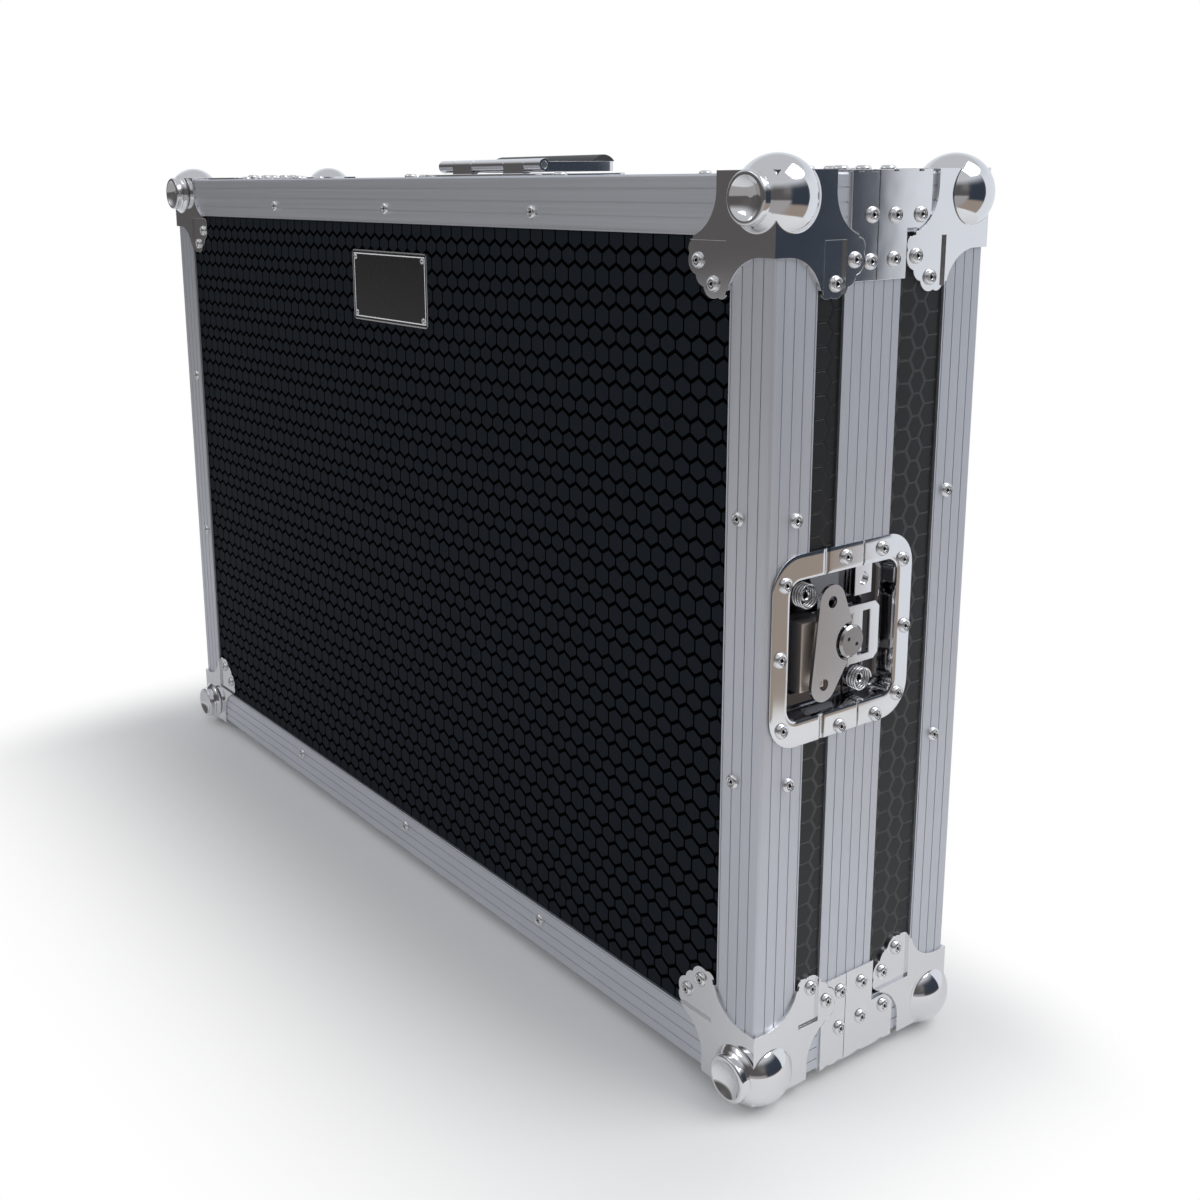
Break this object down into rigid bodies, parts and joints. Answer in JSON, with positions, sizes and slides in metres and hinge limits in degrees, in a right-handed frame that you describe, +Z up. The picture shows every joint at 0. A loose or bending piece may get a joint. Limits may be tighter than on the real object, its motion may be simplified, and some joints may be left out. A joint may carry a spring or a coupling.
{
  "type": "pick foam flight case",
  "caption": "Flat flight case standing on edge: laminated panels in aluminium angles, ball corners, tongue-and-groove lid, recessed butterfly latches, folding handle, pick foam inside",
  "frame": {"origin": "middle of the case's width and depth, on the floor plane under the ball corners", "axes": "+X along the case's long side to the viewer's right, +Y from the lid to the back of the base, +Z up"},
  "size_m": [0.752, 0.174, 0.5155],
  "materials": {
    "laminate": "plywood faced with near-black laminate embossed with hexagons",
    "aluminium": "satin extrusion with fine lengthwise grooves",
    "chrome": "bright plated sheet",
    "steel": "bright steel",
    "foam": "dark open-cell foam",
    "plate": "black bare plate with a bright edge",
    "grip": "black moulded grip"
  },
  "bodies": {
    "base": {"base_back_panel": "laminate", "base_top_wall": "laminate", "base_bottom_wall": "laminate", "base_left_wall": "laminate", "base_right_wall": "laminate", "base_edge_top": "aluminium", "base_edge_bottom": "aluminium", "base_edge_left": "aluminium", "base_edge_right": "aluminium", "base_short_edges": "aluminium", "base_tongue_frame": "aluminium", "base_ball_corner_top_left": "chrome", "base_ball_corner_top_right": "chrome", "base_ball_corner_bottom_left": "chrome", "base_ball_corner_bottom_right": "chrome", "base_braces": "chrome", "base_rivets": "steel", "base_pad": "foam", "pick_foam": "foam", "keeper_dish_left": "chrome", "keeper_dish_right": "chrome", "handle_plate": "chrome", "handle_axle": "steel", "handle_sleeve": "chrome"},
    "lid": {"lid_front_panel": "laminate", "lid_top_wall": "laminate", "lid_bottom_wall": "laminate", "lid_left_wall": "laminate", "lid_right_wall": "laminate", "lid_edge_top": "aluminium", "lid_edge_bottom": "aluminium", "lid_edge_left": "aluminium", "lid_edge_right": "aluminium", "lid_short_edges": "aluminium", "lid_groove_frame": "aluminium", "lid_ball_corner_top_left": "chrome", "lid_ball_corner_top_right": "chrome", "lid_ball_corner_bottom_left": "chrome", "lid_ball_corner_bottom_right": "chrome", "lid_braces": "chrome", "lid_rivets": "steel", "lid_convoluted_foam": "foam", "name_plate": "plate", "latch_dish_left": "chrome", "latch_dish_right": "chrome", "latch_springs_left": "steel", "latch_springs_right": "steel"},
    "latch_rotor_left": {"latch_cam_left": "steel", "latch_knob_left": "steel", "latch_pin_left": "steel"},
    "latch_wing_left": {"latch_wing_left": "chrome"},
    "latch_hook_left": {"latch_hook_left": "chrome"},
    "latch_rotor_right": {"latch_cam_right": "steel", "latch_knob_right": "steel", "latch_pin_right": "steel"},
    "latch_wing_right": {"latch_wing_right": "chrome"},
    "latch_hook_right": {"latch_hook_right": "chrome"},
    "handle": {"handle_bail": "chrome", "handle_grip": "grip"}
  },
  "joints": [
    {"name": "lid_slide", "type": "slide", "parent": "base", "child": "lid", "axis": [0, -1, 0], "range_m": [0, 0.2]},
    {"name": "latch_turn_left", "type": "hinge", "parent": "lid", "child": "latch_rotor_left", "pos_m": [-0.3665, -0.016, 0.2605], "axis": [-1, 0, 0], "range_deg": [0, 180]},
    {"name": "wing_fold_left", "type": "hinge", "parent": "latch_rotor_left", "child": "latch_wing_left", "pos_m": [-0.3657, -0.016, 0.2605], "axis": [0, -0.1011, -0.9949], "range_deg": [0, 90]},
    {"name": "hook_slide_left", "type": "slide", "parent": "lid", "child": "latch_hook_left", "axis": [0, 1, 0], "range_m": [0, 0.006]},
    {"name": "latch_turn_right", "type": "hinge", "parent": "lid", "child": "latch_rotor_right", "pos_m": [0.3665, -0.016, 0.2605], "axis": [1, 0, 0], "range_deg": [0, 180]},
    {"name": "wing_fold_right", "type": "hinge", "parent": "latch_rotor_right", "child": "latch_wing_right", "pos_m": [0.3657, -0.016, 0.2605], "axis": [0, 0.1011, 0.9949], "range_deg": [0, 90]},
    {"name": "hook_slide_right", "type": "slide", "parent": "lid", "child": "latch_hook_right", "axis": [0, 1, 0], "range_m": [0, 0.006]},
    {"name": "handle_fold", "type": "hinge", "parent": "base", "child": "handle", "pos_m": [0, 0.0094, 0.5087], "axis": [1, 0, 0], "range_deg": [0, 95]}
  ],
  "couplings": [
    {"joint": "hook_slide_left", "follows": "latch_turn_left", "m_per_rad": 0.0019099},
    {"joint": "hook_slide_right", "follows": "latch_turn_right", "m_per_rad": 0.0019099}
  ]
}
